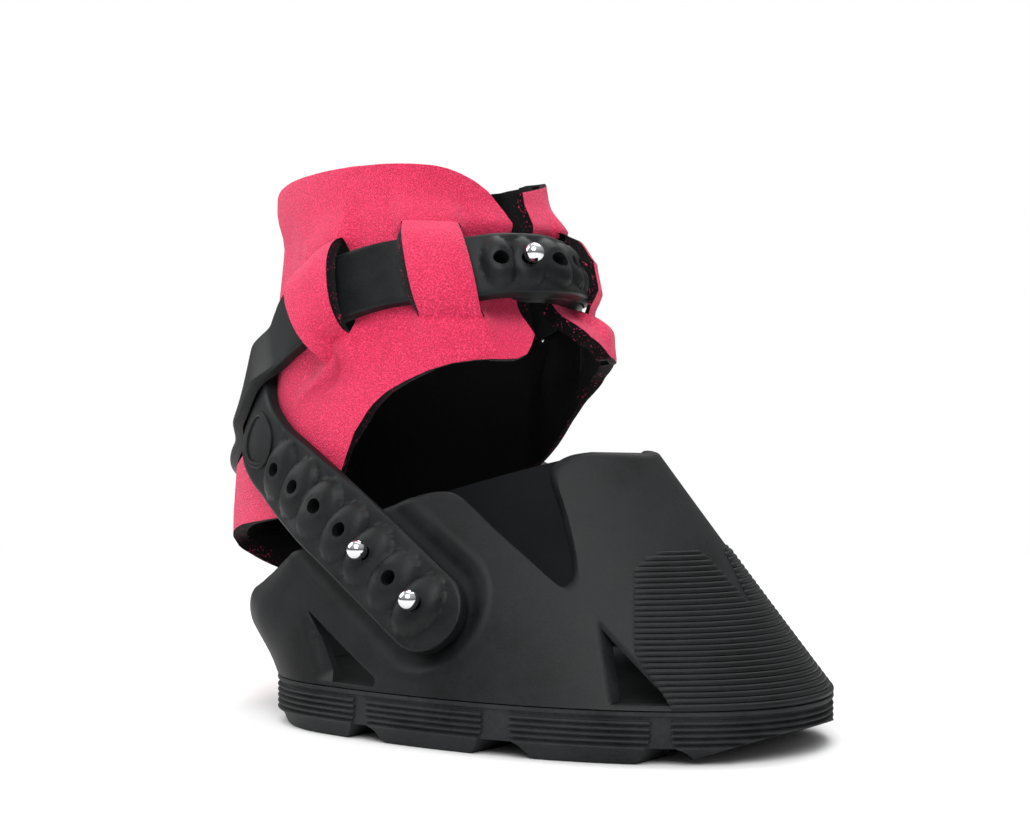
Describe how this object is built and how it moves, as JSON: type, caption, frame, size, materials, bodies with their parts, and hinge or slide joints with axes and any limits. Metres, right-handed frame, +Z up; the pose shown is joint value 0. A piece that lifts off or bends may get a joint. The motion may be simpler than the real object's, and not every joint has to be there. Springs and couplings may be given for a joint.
{
  "type": "horse hoof boot",
  "caption": "Rubber horse hoof boot with a treaded outsole, vented shell, soft neoprene pastern cuff and crossing straps held by ball studs.",
  "frame": {"origin": "middle of the part's box, on the ground under the treads", "axes": "+X to the toe, +Y to the boot's left, +Z up the leg"},
  "size_m": [0.2196, 0.1294, 0.168],
  "materials": {
    "charcoal_rubber": "matte",
    "outsole_rubber": "matte",
    "gusset_rubber": "satin",
    "pink_neoprene": "knit",
    "chrome": "polished",
    "steel": "plain"
  },
  "bodies": {
    "boot": {"outsole": "outsole_rubber", "upper_shell": "charcoal_rubber", "gusset_right": "gusset_rubber", "gusset_left": "gusset_rubber", "right_front_stud": "chrome", "right_front_washer": "steel", "right_front_screw": "steel", "right_rear_stud": "chrome", "right_rear_washer": "steel", "right_rear_screw": "steel", "left_front_stud": "chrome", "left_front_washer": "steel", "left_front_screw": "steel", "left_rear_stud": "chrome", "left_rear_washer": "steel", "left_rear_screw": "steel"},
    "cuff": {"gaiter": "pink_neoprene", "strap_right": "charcoal_rubber", "strap_left": "charcoal_rubber", "closure_stud": "chrome", "closure_washer": "steel", "closure_screw": "steel"},
    "closure_end": {"closure_strap_end": "charcoal_rubber"}
  },
  "joints": [
    {"name": "cuff_flex", "type": "hinge", "parent": "boot", "child": "cuff", "pos_m": [-0.03023, 0, 0.05], "axis": [0, 1, 0], "range_deg": [0, 15], "stiffness_Nm_per_rad": 1, "deforming": ["strap_right", "strap_left"]},
    {"name": "closure_swing", "type": "hinge", "parent": "cuff", "child": "closure_end", "pos_m": [0.01027, -0.0275, 0.134], "axis": [0, 0, -1], "range_deg": [0, 90], "stiffness_Nm_per_rad": 0.02, "deforming": ["closure_strap_end"]}
  ]
}
